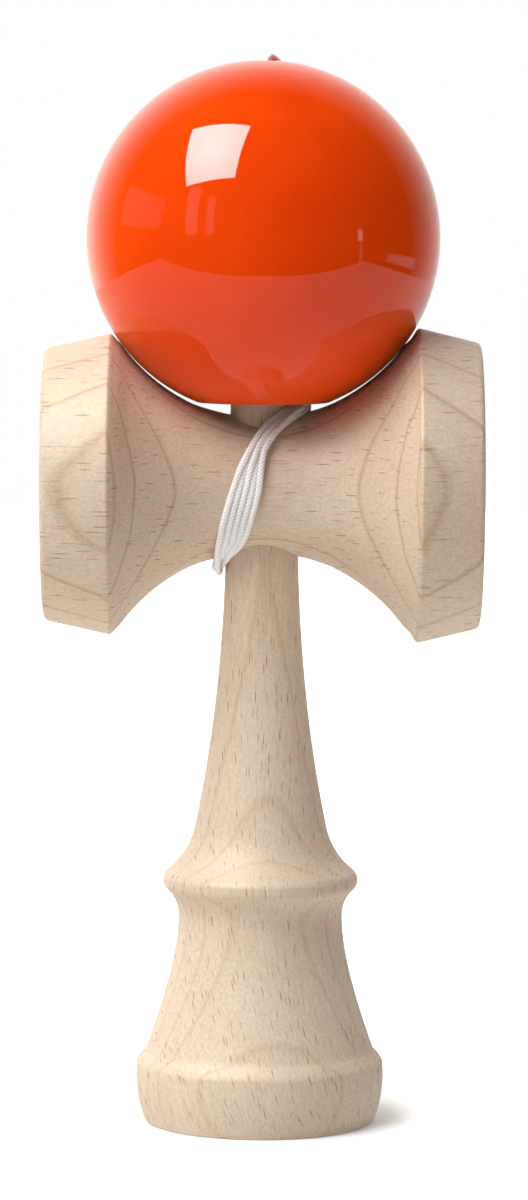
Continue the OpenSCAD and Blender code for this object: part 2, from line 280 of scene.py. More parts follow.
def windingPath(look):
    gap = look["diameter"] / 2 + look["woodGap"]
    points = [[0, y, crossZ] for y in throughWood]
    for t in np.radians((0, 22.5, 45, 67.5, 90)):
        up = exitBend * (1 - math.cos(t))
        points.append([up * exitWay[0], exitFrom + exitBend * math.sin(t), crossZ + up * exitWay[1]])
    points.append(list(exitEnd))
    for a in np.arange(windStart, lastTurn * 360 + leaveTurn + 1, turnStep):
        n = math.floor(a / 360)
        f = a - 360 * n
        across, layer = placeAt(f, n + ease((f - shiftStart) / shiftSpan))
        points.append(onWaist(f, across, layer, gap))
    start = placeAt(leaveTurn, lastTurn)
    endRadius = math.hypot(leave[1], leave[2] - crossZ)
    for f in np.arange(leaveTurn + turnStep, leaveEnd, turnStep):
        share = ease((f - leaveTurn) / (acrossEnd - leaveTurn))
        low = onWaist(f, start[0] + (leave[0] - start[0]) * share, 0, gap)
        r = math.hypot(low[1], low[2] - crossZ)
        r += (endRadius - r) * ease((f - liftTurn) / (acrossEnd - liftTurn))
        angle = math.radians(f)
        points.append([low[0], -r * math.sin(angle), crossZ + r * math.cos(angle)])
    return points + [leave.tolist(), leadLow.tolist()]


# Over the ball: the angle from its top, and the bearing from the lead's own. Then into the hole: the distance
# from the ball's axis, the bearing, and the height above the ball.
leadBearing = math.degrees(math.atan2(leave[0], leave[1]))
overBall = [
    (105, 0), (97, 0), (89, -0.1), (81, -0.4), (73, -0.8), (65, -1.3), (57, -1.7), (49, -2), (41, -2.3),
    (33, -2.5), (26, -2.5), (19, -2.5), (13, -1), (8, 3),
]
intoHole = [
    (3.35, 5, 0.5), (2.5, 6, 0.62), (1.54, 8, 0.43), (0.73, 8, -0.11), (0.19, 8, -0.92), (0, 8, -1.9),
    (0, 8, -3.5), (0, 8, -6), (0, 8, -10), (0, 8, -15.2),
]


def leadPath(look):
    reach = ballRadius + look["diameter"] / 2 + look["woodGap"]
    points = [leadLow + (leadHigh - leadLow) * t for t in np.linspace(0, 1, 9)]
    points.append(touch)
    for angle, bearing in overBall:
        a, b = math.radians(angle), math.radians(leadBearing + bearing)
        out = reach * math.sin(a)
        points.append([out * math.sin(b), out * math.cos(b), ballZ + reach * math.cos(a)])
    for out, bearing, rise in intoHole:
        b = math.radians(leadBearing + bearing)
        points.append([out * math.sin(b), out * math.cos(b), ballZ + ballRadius + rise])
    return [list(p) for p in points]


# an end knot: a string looped through itself, drawn tight
knotLook = {"width": 3.4, "height": 2.4, "inHandle": (0, -4.3, crossZ), "underBead": (0, 0, 164.4)}


def knotPath(centre, axis, look):
    t = np.linspace(0, 2 * np.pi, 60)
    loop = np.stack([np.sin(t) + 2 * np.sin(2 * t), np.cos(t) - 2 * np.cos(2 * t), -np.sin(3 * t)], axis=1)
    loop[:, :2] *= (look["width"] - stringLook["diameter"]) / 2 / 3  # the loop reaches 3 from its middle
    loop[:, 2] *= (look["height"] - stringLook["diameter"]) / 2
    if axis == "Y":
        loop = loop[:, [0, 2, 1]]
    return (loop + np.array(centre)).tolist()


wound = windingPath(stringLook)
windingPiece = braidedTube("wound_string", wound, stringLook)
lead = leadPath(stringLook)
leadPiece = braidedTube("lead_string", lead, stringLook)
kenKnotPiece = braidedTube("handle_knot", knotPath(knotLook["inHandle"], "Y", knotLook), stringLook)
beadKnotPiece = braidedTube("bead_knot", knotPath(knotLook["underBead"], "Z", knotLook), stringLook)
windingLine = smoothPath(wound, stringLook["lineStep"]) * mm
leadLine = smoothPath(lead, stringLook["lineStep"]) * mm
print("string laid: winding", round(pathLength(windingLine), 3), "m")
print("string laid: lead", round(pathLength(leadLine), 3), "m")


# turned pieces: an outline of (radius, height) spun round an axis
leastStep = 0.004  # outline points closer than this become one
onAxis = 0.0001  # a radius below this is a point on the axis


def bend(p, k, q, steps=14):
    p, k, q = np.array(p, float), np.array(k, float), np.array(q, float)
    t = np.linspace(0, 1, steps + 1)[:, None]
    return ((1 - t) ** 2 * p + 2 * t * (1 - t) * k + t * t * q).tolist()


# a bend from p at a degrees to q at b degrees, outwards from straight up
def flow(p, a, q, b, steps=20):
    a, b = math.radians(a), math.radians(b)
    reach = ((q[0] - p[0]) * math.cos(b) - (q[1] - p[1]) * math.sin(b)) / math.sin(a - b)
    return bend(p, [p[0] + reach * math.sin(a), p[1] + reach * math.cos(a)], q, steps)


def lathe(name, outline, axis, steps, closed=False, centre=(0, 0, 0)):
    kept = [outline[0]]
    for p in outline[1:]:
        if math.dist(p, kept[-1]) > leastStep:
            kept.append(p)
    angles = [2 * math.pi * k / steps for k in range(steps)]
    build = bmesh.new()
    rings = []
    for radius, height in kept:
        if radius < onAxis:
            rings.append([build.verts.new(spun(0, height, 0, axis, centre))])
            continue
        rings.append([build.verts.new(spun(radius, height, angle, axis, centre)) for angle in angles])
    pairs = list(zip(rings[:-1], rings[1:])) + ([(rings[-1], rings[0])] if closed else [])
    for low, high in pairs:
        for k in range(steps):
            j = (k + 1) % steps
            corners = [low[k % len(low)], low[j % len(low)], high[j % len(high)], high[k % len(high)]]
            build.faces.new(list(dict.fromkeys(corners)))
    bmesh.ops.recalc_face_normals(build, faces=build.faces)
    mesh = bpy.data.meshes.new(name)
    build.to_mesh(mesh)
    build.free()
    piece = bpy.data.objects.new(name, mesh)
    scene.collection.objects.link(piece)
    return piece


def spun(radius, height, angle, axis, centre):
    a, b = radius * math.cos(angle), radius * math.sin(angle)
    place = (height, a, b) if axis == "X" else (a, b, height)
    return Vector(place) * mm + Vector(centre) * mm


def smooth(piece, sharpDegrees):
    piece.data.polygons.foreach_set("use_smooth", [True] * len(piece.data.polygons))
    piece.data.set_sharp_from_angle(angle=math.radians(sharpDegrees))


# handle; its slopes are degrees outwards from straight up
kenLook = {
    "baseRadius": 21.2, "baseMid": 8.1, "baseEdge": 10, "footRound": 0.4, "baseSlope": -5,
    "cupRadius": 17.2, "cupDepth": 6, "lipInside": 0.25, "lipOutside": 0.3,
    "stepSlope": -45, "bellFoot": (19.5, 12.35), "bellSlope": -20, "neck": (14, 35.3),
    "underCollarSlope": 54, "collarLow": (16.6, 40.5), "collarHigh": (16.6, 41.9), "collarRound": 0.8,
    "collarCrown": (15.6, 43.4), "crownSlope": -50, "flareEnd": (11.25, 50.7), "flareSlope": -12,
    "gripEnd": 95.6, "taperFoot": (6.15, 97.6), "spikeFoot": (5.5, 120.6), "pointStart": (4.7, 146.5),
    "tipStart": (2.3, 156.5), "tipSlope": -15, "tip": 158.5,
    "stringHole": 1.2, "holeReach": 8, "pocket": 2.3, "pocketFloor": 2.9,
    "steps": 160, "sharpDegrees": 30,
}


# radius of the handle's taper, where the crosspiece is wedged
def taperAt(z):
    (low, lowZ), (high, highZ) = kenLook["taperFoot"], kenLook["spikeFoot"]
    return low + (high - low) * (z - lowZ) / (highZ - lowZ)


def kenOutline(look):
    def baseRadius(z):
        return math.sqrt(look["baseRadius"] ** 2 - (z - look["baseMid"]) ** 2)

    cupSphere = (look["cupRadius"] ** 2 + look["cupDepth"] ** 2) / (2 * look["cupDepth"])
    cupMiddle = look["cupDepth"] - cupSphere
    cupSteps = np.linspace(0, math.asin((look["cupRadius"] - look["lipInside"]) / cupSphere), 24)
    cup = [[cupSphere * math.sin(a), cupMiddle + cupSphere * math.cos(a)] for a in cupSteps]
    lip = bend(cup[-1], [look["cupRadius"], 0], [look["cupRadius"] + look["lipOutside"], 0], 5)
    foot = baseRadius(0)
    roundTop = look["footRound"]
    heights = np.linspace(roundTop, look["baseEdge"], 16)
    side = [[baseRadius(z), z] for z in heights]
    underEdge = bend([foot - roundTop, 0], [foot, 0], side[0], 8)
    gripEnd = (taperAt(look["gripEnd"]), look["gripEnd"])
    taper = math.degrees(math.atan2(look["spikeFoot"][0] - gripEnd[0], look["spikeFoot"][1] - gripEnd[1]))
    neck = flow(look["neck"], 0, look["collarLow"], look["underCollarSlope"])
    neck = [p for p in neck if math.dist(p, look["collarLow"]) > look["collarRound"]]
    collarRadius, collarZ = look["collarLow"]
    collar = bend(neck[-1], look["collarLow"], [collarRadius, collarZ + look["collarRound"]], 8)
    return (cup + lip + underEdge + side
            + flow(side[-1], look["baseSlope"], look["bellFoot"], look["stepSlope"])
            + flow(look["bellFoot"], look["bellSlope"], look["neck"], 0, 30)
            + neck + collar
            + flow(look["collarHigh"], 0, look["collarCrown"], look["crownSlope"])
            + flow(look["collarCrown"], look["crownSlope"], look["flareEnd"], look["flareSlope"], 24)
            + flow(look["flareEnd"], look["flareSlope"], gripEnd, taper, 40)
            + [list(look["spikeFoot"]), list(look["pointStart"])]
            + flow(look["tipStart"], look["tipSlope"], (0, look["tip"]), -90))


# cuts a turned hole out of a piece, upright or lying along Y through the crosspiece's middle
def cutHole(piece, outline, lying):
    cutter = lathe("hole_cutter", outline, "Z", 48)
    if lying:
        laid = Matrix.Rotation(math.radians(-90), 4, "X")
        cutter.data.transform(Matrix.Translation((0, 0, crossZ * mm)) @ laid)
    cut = piece.modifiers.new("hole", "BOOLEAN")
    cut.object = cutter
    cut.solver = "EXACT"
    bpy.context.view_layer.update()
    finished = piece.evaluated_get(bpy.context.evaluated_depsgraph_get())
    cutMesh = bpy.data.meshes.new_from_object(finished)
    piece.modifiers.clear()
    piece.data = cutMesh
    bpy.data.objects.remove(cutter)


# through the handle for the string, with a pocket at the front for its knot
def kenHole(look):
    hole, pocket, floor, past = look["stringHole"], look["pocket"], look["pocketFloor"], look["holeReach"]
    return [[0, -past], [pocket, -past], [pocket, -floor], [hole, -floor], [hole, past], [0, past]]


kenPiece = lathe("handle", kenOutline(kenLook), "Z", kenLook["steps"])
cutHole(kenPiece, kenHole(kenLook), lying=True)
smooth(kenPiece, kenLook["sharpDegrees"])

# crosspiece: big cup at the right, small cup at the left
saradoLook = {
    "halfLength": 37, "rimRound": 1.0, "ridgeRound": 0.5, "lipRound": 0.7, "steps": 192, "sharpDegrees": 28,
    "big": {"ridge": 26.8, "rim": 24.2, "cup": 21.3, "depth": 9.5},
    "small": {"ridge": 25.6, "rim": 23.1, "cup": 20.2, "depth": 9},
    "bore": (94, 124), "boreGap": 0.05, "stringHole": 1.2, "holeBevel": 1.4, "holeStart": 4,
    "wornAt": [-25.2, -24.4, -18, -12, -8, 8, 12, 18, 24.4, 25.2],
    "wornBy": [0.05, 0.34, 0.12, -0.12, 0, 0, 0, 0.24, 0.35, 0.05],
}


def endOutline(end, look):
    sphere = (end["cup"] ** 2 + end["depth"] ** 2) / (2 * end["depth"])
    middle = look["halfLength"] - end["depth"] + sphere
    lip = look["lipRound"]
    angles = np.linspace(0, math.asin((end["cup"] - lip) / sphere), 26)
    cup = [[sphere * math.sin(a), middle - sphere * math.cos(a)] for a in angles]
    rim = np.array([end["rim"], look["halfLength"]])
    ridge = np.array([end["ridge"], math.sqrt(seatRadius ** 2 - (saddleCentre - end["ridge"]) ** 2)])
    band = (ridge - rim) / np.linalg.norm(ridge - rim)
    saddle = np.array([-ridge[1], ridge[0] - saddleCentre])
    saddle /= np.linalg.norm(saddle)
    ridgeEnd = ridge + look["ridgeRound"] * saddle
    return (cup + bend(cup[-1], [end["cup"], look["halfLength"]], [end["cup"] + lip, look["halfLength"]], 8)
            + bend(rim - [look["rimRound"], 0], rim, rim + look["rimRound"] * band, 8)
            + bend(ridge - look["ridgeRound"] * band, ridge, ridgeEnd, 8)), ridgeEnd[1]


# the waist is worn in: closest to the ball near the ridges, wider beside the spike
def saradoOutline(look):
    big, bigX = endOutline(look["big"], look)
    small, smallX = endOutline(look["small"], look)
    waist = []
    for x in np.linspace(bigX, -smallX, 120):
        worn = np.interp(x, look["wornAt"], look["wornBy"])
        raised = worn * math.sqrt(seatRadius ** 2 - x * x) / seatRadius
        waist.append([waistAt(x) + raised, x * (1 - worn / seatRadius)])
    return big + waist + [[r, -x] for r, x in reversed(small)]


# the tapered bore for the handle
def saradoBore(look):
    low, high = look["bore"]
    lowRadius, highRadius = taperAt(low) + look["boreGap"], taperAt(high) + look["boreGap"]
    return [[0, low], [lowRadius, low], [highRadius, high], [0, high]]


# the string's hole in the back of the waist, with its bevel
def saradoHole(look):
    hole, bevel, start = look["stringHole"], look["holeBevel"], look["holeStart"]
    end = waistRadius + bevel
    return [[0, start], [hole, start], [hole, waistRadius - bevel], [hole + 2 * bevel, end], [0, end]]


saradoPiece = lathe("crosspiece", saradoOutline(saradoLook), "X", saradoLook["steps"],
                    centre=(0, 0, crossZ))
cutHole(saradoPiece, saradoBore(saradoLook), lying=False)
cutHole(saradoPiece, saradoHole(saradoLook), lying=True)
smooth(saradoPiece, saradoLook["sharpDegrees"])

# ball: lacquered outside, bare in its holes
tamaLook = {
    "mouth": 11.3, "mouthBevel": 0.5, "mouthEase": 0.3, "holeEnd": 9.7, "holeFlat": 5, "slopeFoot": 167.5,
    "topHole": 2, "topBevel": 1, "topEase": (0.3, 0.1), "lacquerDepth": 0.75,
    "steps": 192, "sharpDegrees": 30,
}


def tamaOutline(look):
    mouthZ = ballZ - math.sqrt(ballRadius ** 2 - look["mouth"] ** 2)
    bevelTop = look["topHole"] + look["topBevel"]
    topZ = ballZ + math.sqrt(ballRadius ** 2 - bevelTop ** 2)
    first = math.asin(look["mouth"] / ballRadius)
    last = math.pi - math.asin(bevelTop / ballRadius)
    arc = np.linspace(first, last, 150)
    shell = [[ballRadius * math.sin(a), ballZ - ballRadius * math.cos(a)] for a in arc]
    bevel = bend([look["mouth"] - look["mouthBevel"], mouthZ + look["mouthBevel"]],
                 [look["mouth"] - look["mouthEase"], mouthZ], shell[0], 6)
    easeOut, easeDown = look["topEase"]
    top = bend(shell[-1], [look["topHole"] + easeOut, topZ - easeDown],
               [look["topHole"], topZ - look["topBevel"]], 6)
    inside = [[look["topHole"], holeTopZ], [look["holeFlat"], holeTopZ],
              [look["holeEnd"], look["slopeFoot"]]]
    return bevel + shell + top + inside


tamaPiece = lathe("ball", tamaOutline(tamaLook), "Z", tamaLook["steps"], closed=True)
smooth(tamaPiece, tamaLook["sharpDegrees"])

# bead that the ball hangs on
beadLook = {
    "radius": 3.5, "hole": 0.9, "holeBevel": 0.4, "low": 165.8, "high": 170.8, "round": 1.6,
    "steps": 64, "sharpDegrees": 40,
}


def beadOutline(look):
    r, h, c, e = look["radius"], look["hole"], look["round"], look["holeBevel"]
    low, high = look["low"], look["high"]
    return ([[h, low + e], [h + e, low]] + bend([r - c, low], [r, low], [r, low + c])
            + bend([r, high - c], [r, high], [r - c, high]) + [[h + e, high], [h, high - e]])


beadPiece = lathe("bead", beadOutline(beadLook), "Z", beadLook["steps"], closed=True)
smooth(beadPiece, beadLook["sharpDegrees"])
print("wooden pieces turned")


# Beech: steamed, turned and fine sanded. Pale ground, thin brown growth-ring lines, short dark pore lines
# that run along the grain, and a fine silky fibre. Sizes are in millimetres.
beechLook = {
    "ground": "#DDC8B0", "shade": "#D0B393", "line": "#B0825B", "pore": "#9C5F32",
    "ringWave": (45, 14, 14), "waveBy": 1.4, "ringMargin": 3,
    "ringLine": ((-0.16, 0.08), (0.05, 1), (0.5, 0.14)),  # starts sharp on one side, fades on the other
    "poreEdge": 0.1, "poreCore": 0.3, "poreFaint": 0.25, "poreStrength": 0.8,
    "fibreLength": 9, "fibreWidth": 0.3, "fibreTone": (0.91, 1.07),
    "sandMarksPerMm": 2.2, "sandTone": (0.92, 1.08),
    "patchesPerMm": 0.06, "patchShade": 0.35,
    "roughness": (0.45, 0.6), "ior": 1.5, "specular": 0.35, "bump": 0.35, "bumpDepth": 0.05,
}
saradoGrain = {
    "along": "X", "pith": (70, crossZ), "poreCell": (8, 3, 0.48), "poreDrop": 0.15,
    "ringStrength": 0.6, "tilt": -0.035, "lean": 0, "leanBelow": 0,
    "rings": [47, 53, 60, 66, 72, 78, 85.7, 91, 94.8, 99.5],
}
kenGrain = {
    "along": "Z", "pith": (-6, 60), "poreCell": (5.2, 0.46, 2.1), "poreDrop": 0.05,
    "ringStrength": 0.3, "tilt": 0, "lean": 0.0027, "leanBelow": 60,
    "rings": [42, 47, 52, 57, 62, 66.5, 70.3, 73.2, 78.5, 83],
}
tamaGrain = {
    "along": "Z", "pith": (45, 20), "poreCell": (5, 0.5, 2.5), "poreDrop": 0.3,
    "ringStrength": 0.5, "tilt": 0, "lean": 0, "leanBelow": 0,
    "rings": [28, 34, 40, 45, 51, 57, 62, 68],
}


def beechMaterial(name, look, grain):
    material, tree = emptyMaterial(name)
    place = addNode(tree, "ShaderNodeTexCoord", (-1900, 0))
    inMm = addNode(tree, "ShaderNodeVectorMath", (-1700, 0), {"operation": "SCALE", "Scale": 1 / mm},
                   {0: place.outputs["Object"]})
    parts = addNode(tree, "ShaderNodeSeparateXYZ", (-1500, 0), None, {0: inMm.outputs[0]})
    x, y, z = parts.outputs
    along, acrossA, acrossB = (x, y, z) if grain["along"] == "X" else (z, x, y)
    laid = addNode(tree, "ShaderNodeCombineXYZ", (-1300, 0), None, {0: along, 1: acrossA, 2: acrossB})
    # growth rings: distance from the pith, waved a little along the grain
    waveScale = addNode(tree, "ShaderNodeVectorMath", (-1100, 400),
                        {"operation": "MULTIPLY", 1: tuple(1 / size for size in look["ringWave"])},
                        {0: laid.outputs[0]})
    wave = addNode(tree, "ShaderNodeTexNoise", (-900, 400), {"Scale": 1, "Detail": 2, "Roughness": 0.45},
                   {"Vector": waveScale.outputs[0]})
    fromPith = addNode(tree, "ShaderNodeVectorMath", (-1100, 150),
                       {"operation": "SUBTRACT", 1: (0, grain["pith"][0], grain["pith"][1])},
                       {0: laid.outputs[0]})
    flat = addNode(tree, "ShaderNodeVectorMath", (-900, 150), {"operation": "MULTIPLY", 1: (0, 1, 1)},
                   {0: fromPith.outputs[0]})
    far = addNode(tree, "ShaderNodeVectorMath", (-700, 150), {"operation": "LENGTH"}, {0: flat.outputs[0]})
    waved = addNode(tree, "ShaderNodeMath", (-500, 250), {"operation": "MULTIPLY_ADD", 1: look["waveBy"]},
                    {0: wave.outputs["Fac"], 2: far.outputs["Value"]})
    tilted = addNode(tree, "ShaderNodeMath", (-400, 350), {"operation": "MULTIPLY_ADD", 1: grain["tilt"]},
                     {0: along, 2: waved.outputs[0]})
    low, high = grain["rings"][0] - look["ringMargin"], grain["rings"][-1] + look["ringMargin"]
    meanWave = look["waveBy"] / 2
    span = addNode(tree, "ShaderNodeMapRange", (-300, 250), {1: low + meanWave, 2: high + meanWave},
                   {0: tilted.outputs[0]})
    ramp = addNode(tree, "ShaderNodeValToRGB", (-100, 250), None, {0: span.outputs[0]})
    stops = ramp.color_ramp
    stops.elements[0].position = 0
    stops.elements[0].color = (0, 0, 0, 1)
    stops.elements[1].position = 1
    stops.elements[1].color = (0, 0, 0, 1)
    for ring in grain["rings"]:
        for offset, level in look["ringLine"]:
            stop = stops.elements.new((ring + offset - low) / (high - low))
            stop.color = (level, level, level, 1)
    # the grain's sideways lean near one end
    below = addNode(tree, "ShaderNodeMath", (-1500, -300), {"operation": "SUBTRACT", 0: grain["leanBelow"]},
                    {1: along})
    under = addNode(tree, "ShaderNodeMath", (-1400, -300), {"operation": "MAXIMUM", 1: 0},
                    {0: below.outputs[0]})
    squared = addNode(tree, "ShaderNodeMath", (-1300, -300), {"operation": "MULTIPLY"},
                      {0: under.outputs[0], 1: under.outputs[0]})
    leaning = addNode(tree, "ShaderNodeMath", (-1200, -300),
                      {"operation": "MULTIPLY_ADD", 1: -grain["lean"]}, {0: squared.outputs[0], 2: acrossA})
    leant = addNode(tree, "ShaderNodeCombineXYZ", (-1150, -200), None,
                    {0: along, 1: leaning.outputs[0], 2: acrossB})
    # pores: long thin cells, of which a share is kept
    poreScale = addNode(tree, "ShaderNodeVectorMath", (-1100, -150),
                        {"operation": "MULTIPLY", 1: tuple(1 / size for size in grain["poreCell"])},
                        {0: leant.outputs[0]})
    cells = addNode(tree, "ShaderNodeTexVoronoi", (-900, -150), {"Scale": 1, "Randomness": 1},
                    {"Vector": poreScale.outputs[0]})
    chance = addNode(tree, "ShaderNodeSeparateColor", (-700, -250), None, {0: cells.outputs["Color"]})
    kept = addNode(tree, "ShaderNodeMath", (-500, -250), {"operation": "GREATER_THAN", 1: grain["poreDrop"]},
                   {0: chance.outputs[0]})
    core = addNode(tree, "ShaderNodeMapRange", (-500, -80),
                   {"interpolation_type": "SMOOTHSTEP", 1: look["poreEdge"], 2: look["poreCore"],
                    3: 1, 4: 0},
                   {0: cells.outputs["Distance"]})
    depth = addNode(tree, "ShaderNodeMapRange", (-500, -420), {3: look["poreFaint"], 4: 1},
                    {0: chance.outputs[1]})
    shown = addNode(tree, "ShaderNodeMath", (-300, -150), {"operation": "MULTIPLY"},
                    {0: core.outputs[0], 1: kept.outputs[0]})
    pores = addNode(tree, "ShaderNodeMath", (-100, -150), {"operation": "MULTIPLY"},
                    {0: shown.outputs[0], 1: depth.outputs[0]})
    # fibres, sanding marks and the slow change of colour
    fibreCell = (look["fibreLength"], look["fibreWidth"], look["fibreWidth"])
    fibreScale = addNode(tree, "ShaderNodeVectorMath", (-1100, -600),
                         {"operation": "MULTIPLY", 1: tuple(1 / size for size in fibreCell)},
                         {0: leant.outputs[0]})
    fibres = addNode(tree, "ShaderNodeTexNoise", (-900, -600), {"Scale": 1, "Detail": 3, "Roughness": 0.6},
                     {"Vector": fibreScale.outputs[0]})
    patches = addNode(tree, "ShaderNodeTexNoise", (-900, -850), {"Scale": look["patchesPerMm"], "Detail": 2},
                      {"Vector": laid.outputs[0]})
    sanded = addNode(tree, "ShaderNodeTexNoise", (-900, -1050),
                     {"Scale": look["sandMarksPerMm"], "Detail": 2}, {"Vector": laid.outputs[0]})
    # colour
    patchShare = addNode(tree, "ShaderNodeMapRange", (-500, -850),
                         {1: 0.35, 2: 0.7, 3: 0, 4: look["patchShade"]}, {0: patches.outputs["Fac"]})
    ground = addNode(tree, "ShaderNodeMix", (100, -500),
                     {"data_type": "RGBA", 6: linear(look["ground"]), 7: linear(look["shade"])},
                     {0: patchShare.outputs[0]})
    ringShare = addNode(tree, "ShaderNodeMath", (100, 250),
                        {"operation": "MULTIPLY", 1: grain["ringStrength"]}, {0: ramp.outputs["Color"]})
    ringed = addNode(tree, "ShaderNodeMix", (300, -300), {"data_type": "RGBA", 7: linear(look["line"])},
                     {0: ringShare.outputs[0], 6: ground.outputs[2]})
    poreShare = addNode(tree, "ShaderNodeMath", (100, 0), {"operation": "MULTIPLY", 1: look["poreStrength"]},
                        {0: pores.outputs[0]})
    pored = addNode(tree, "ShaderNodeMix", (500, -300), {"data_type": "RGBA", 7: linear(look["pore"])},
                    {0: poreShare.outputs[0], 6: ringed.outputs[2]})
    fibreTone = addNode(tree, "ShaderNodeMapRange", (100, -750),
                        {1: 0.3, 2: 0.7, 3: look["fibreTone"][0], 4: look["fibreTone"][1]},
                        {0: fibres.outputs["Fac"]})
    sandTone = addNode(tree, "ShaderNodeMapRange", (100, -950),
                       {1: 0.3, 2: 0.7, 3: look["sandTone"][0], 4: look["sandTone"][1]},
                       {0: sanded.outputs["Fac"]})
    tone = addNode(tree, "ShaderNodeMath", (300, -750), {"operation": "MULTIPLY"},
                   {0: fibreTone.outputs[0], 1: sandTone.outputs[0]})
    toned = addNode(tree, "ShaderNodeVectorMath", (700, -300), {"operation": "SCALE"},
                    {0: pored.outputs[2], "Scale": tone.outputs[0]})
    # surface
    relief = addNode(tree, "ShaderNodeMath", (500, -700), {"operation": "SUBTRACT"},
                     {0: fibreTone.outputs[0], 1: pores.outputs[0]})
    bump = addNode(tree, "ShaderNodeBump", (900, -600),
                   {"Strength": look["bump"], "Distance": look["bumpDepth"] * mm},
                   {"Height": relief.outputs[0]})
    rough = addNode(tree, "ShaderNodeMapRange", (900, -850),
                    {3: look["roughness"][0], 4: look["roughness"][1]}, {0: fibres.outputs["Fac"]})
    shader = addNode(tree, "ShaderNodeBsdfPrincipled", (1150, 0),
                     {"IOR": look["ior"], "Specular IOR Level": look["specular"]},
                     {"Base Color": toned.outputs[0], "Roughness": rough.outputs[0],
                      "Normal": bump.outputs[0]})
    addNode(tree, "ShaderNodeOutputMaterial", (1450, 0), None, {0: shader.outputs[0]})
    return material


# Orange lacquer: sprayed and buffed over wood. Deep even colour under a hard clear coat, with the faint
# ripple that spraying leaves. Sizes are in millimetres.
lacquerLook = {
    "colour": "#F24406", "deep": "#EC3F05", "bloom": "#FF9A1A", "cloud": 14,
    "ripple": 3.0, "rippleDepth": 0.0022, "rippleBump": 0.5,
    "roughness": 0.4, "ior": 1.45, "coatRoughness": 0.015, "coatIor": 1.4,
    "sheen": 0.3, "sheenRoughness": 0.5,
}


def lacquerMaterial(look):
    material, tree = emptyMaterial("orange lacquer")
    place = addNode(tree, "ShaderNodeTexCoord", (-1000, 0))
    inMm = addNode(tree, "ShaderNodeVectorMath", (-800, 0), {"operation": "SCALE", "Scale": 1 / mm},
                   {0: place.outputs["Object"]})
    ripple = addNode(tree, "ShaderNodeTexNoise", (-600, -250), {"Scale": 1 / look["ripple"], "Detail": 1},
                     {"Vector": inMm.outputs[0]})
    cloud = addNode(tree, "ShaderNodeTexNoise", (-600, 100), {"Scale": 1 / look["cloud"], "Detail": 2},
                    {"Vector": inMm.outputs[0]})
    share = addNode(tree, "ShaderNodeMapRange", (-400, 100), {1: 0.35, 2: 0.65}, {0: cloud.outputs["Fac"]})
    colour = addNode(tree, "ShaderNodeMix", (-200, 100),
                     {"data_type": "RGBA", 6: linear(look["colour"]), 7: linear(look["deep"])},
                     {0: share.outputs[0]})
    bump = addNode(tree, "ShaderNodeBump", (-200, -250),
                   {"Strength": look["rippleBump"], "Distance": look["rippleDepth"] * mm},
                   {"Height": ripple.outputs["Fac"]})
    shader = addNode(tree, "ShaderNodeBsdfPrincipled", (100, 0),
                     {"Roughness": look["roughness"], "IOR": look["ior"], "Specular IOR Level": 0,
                      "Coat Weight": 1, "Coat Roughness": look["coatRoughness"], "Coat IOR": look["coatIor"],
                      "Sheen Weight": look["sheen"], "Sheen Roughness": look["sheenRoughness"],
                      "Sheen Tint": linear(look["bloom"])},
                     {"Base Color": colour.outputs[2], "Coat Normal": bump.outputs[0]})
    addNode(tree, "ShaderNodeOutputMaterial", (400, 0), None, {0: shader.outputs[0]})
    return material


# Braided polyester string: bright white yarns with a soft sheen, and a greyer colour in the gaps between them
# that is painted shade. Sizes are in millimetres.
yarnLook = {
    # gap: the greyer colour of the grooves between the yarns, painted shade
    "yarn": "#FEFCFA", "gap": "#DAD3CD", "gapShadeHeight": 0.15, "yarnHeight": 0.6,
    "fibre": 0.12, "fibreDepth": 0.03, "fibreBump": 0.3,
    "roughness": 0.55, "specular": 0.4, "sheen": 0.3, "sheenRoughness": 0.4,
}


def stringMaterial(look):
    material, tree = emptyMaterial("braided polyester")
    height = addNode(tree, "ShaderNodeAttribute", (-800, 100), {"attribute_name": "braidHeight"})
    share = addNode(tree, "ShaderNodeMapRange", (-600, 100), {1: look["gapShadeHeight"], 2: look["yarnHeight"]},
                    {0: height.outputs["Fac"]})
    # where the braid is low, between the yarns, the gap colour paints shade into the grooves
    colour = addNode(tree, "ShaderNodeMix", (-300, 100),
                     {"data_type": "RGBA", 6: linear(look["gap"]), 7: linear(look["yarn"])},
                     {0: share.outputs[0]})
    place = addNode(tree, "ShaderNodeTexCoord", (-1000, -200))
    fibre = addNode(tree, "ShaderNodeTexNoise", (-600, -200),
                    {"Scale": 1 / (look["fibre"] * mm), "Detail": 2}, {"Vector": place.outputs["Object"]})
    bump = addNode(tree, "ShaderNodeBump", (-300, -200),
                   {"Strength": look["fibreBump"], "Distance": look["fibreDepth"] * mm},
                   {"Height": fibre.outputs["Fac"]})
    shader = addNode(tree, "ShaderNodeBsdfPrincipled", (0, 0),
                     {"Roughness": look["roughness"], "Specular IOR Level": look["specular"],
                      "Sheen Weight": look["sheen"], "Sheen Roughness": look["sheenRoughness"]},
                     {"Base Color": colour.outputs[2], "Normal": bump.outputs[0]})
    addNode(tree, "ShaderNodeOutputMaterial", (300, 0), None, {0: shader.outputs[0]})
    return material


kenWood = beechMaterial("turned beech handle", beechLook, kenGrain)
saradoWood = beechMaterial("turned beech crosspiece", beechLook, saradoGrain)
tamaWood = beechMaterial("bare beech in the ball", beechLook, tamaGrain)
lacquer = lacquerMaterial(lacquerLook)
yarn = stringMaterial(yarnLook)

